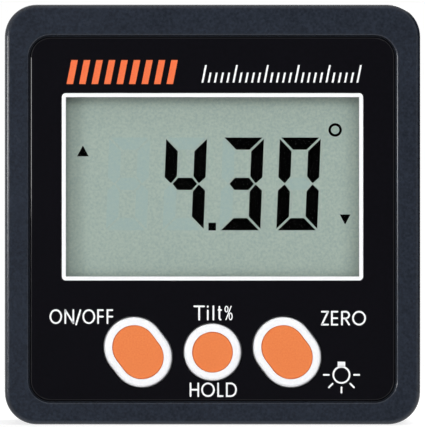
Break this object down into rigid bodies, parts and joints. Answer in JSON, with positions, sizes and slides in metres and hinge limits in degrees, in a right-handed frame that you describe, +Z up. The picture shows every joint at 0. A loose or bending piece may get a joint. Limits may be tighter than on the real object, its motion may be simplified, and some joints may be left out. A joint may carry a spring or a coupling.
{
  "type": "digital angle gauge",
  "caption": "Box-shaped digital angle gauge: LCD window with push keys below it, flat measuring sides, a magnetic base with a groove for pipes and a hinged battery door.",
  "frame": {"origin": "middle of the base, at the plane that the gauge stands on", "axes": "+Z up from the base, -Y out of the display face, +X to the right of someone who reads it"},
  "size_m": [0.057, 0.0284, 0.0576],
  "materials": {
    "case_plastic": "fine matt moulded surface",
    "face_print": "smooth printed surface",
    "clear_window": "clear polished sheet",
    "display_glass": "grey-green display",
    "white_plastic": "smooth",
    "black_plastic": "smooth",
    "connector_rubber": "soft striped rubber",
    "board_laminate": "green solder mask",
    "key_rim": "smooth satin",
    "key_cap": "smooth satin",
    "screw_steel": "plated",
    "contact_steel": "nickel plated",
    "cell_jacket": "printed sleeve",
    "magnet_plating": "nickel plated"
  },
  "bodies": {
    "housing": {"main_case": "case_plastic", "rear_cover": "case_plastic", "face_panel": "face_print", "display_window": "clear_window", "lcd_panel": "display_glass", "lcd_light_guide": "white_plastic", "backlight_leds": "white_plastic", "lcd_holder": "black_plastic", "controller_chip": "black_plastic", "tilt_sensor": "black_plastic", "on_off_switch": "black_plastic", "hold_switch": "black_plastic", "zero_switch": "black_plastic", "upper_connector_strip": "connector_rubber", "lower_connector_strip": "connector_rubber", "circuit_board": "board_laminate", "board_screws": "screw_steel", "cover_screws": "screw_steel", "clock_crystal": "screw_steel", "bridge_contact": "contact_steel", "positive_contact": "contact_steel", "negative_contact": "contact_steel", "upper_spring": "contact_steel", "lower_spring": "contact_steel", "upper_cell": "cell_jacket", "lower_cell": "cell_jacket", "front_left_magnet": "magnet_plating", "front_right_magnet": "magnet_plating", "rear_left_magnet": "magnet_plating", "rear_right_magnet": "magnet_plating"},
    "on_off_button": {"on_off_key": "key_rim", "on_off_cap": "key_cap", "on_off_plunger": "black_plastic"},
    "hold_button": {"hold_key": "key_rim", "hold_cap": "key_cap", "hold_plunger": "black_plastic"},
    "zero_button": {"zero_key": "key_rim", "zero_cap": "key_cap", "zero_plunger": "black_plastic"},
    "door": {"battery_door": "case_plastic"}
  },
  "joints": [
    {"name": "on_off_press", "type": "slide", "parent": "housing", "child": "on_off_button", "axis": [0, 1, 0], "range_m": [0, 0.0005], "stiffness_N_per_m": 400},
    {"name": "hold_press", "type": "slide", "parent": "housing", "child": "hold_button", "axis": [0, 1, 0], "range_m": [0, 0.0005], "stiffness_N_per_m": 400},
    {"name": "zero_press", "type": "slide", "parent": "housing", "child": "zero_button", "axis": [0, 1, 0], "range_m": [0, 0.0005], "stiffness_N_per_m": 400},
    {"name": "door_hinge", "type": "hinge", "parent": "housing", "child": "door", "pos_m": [0, 0.01325, 0.0156], "axis": [-1, 0, 0], "range_deg": [0, 90]}
  ]
}
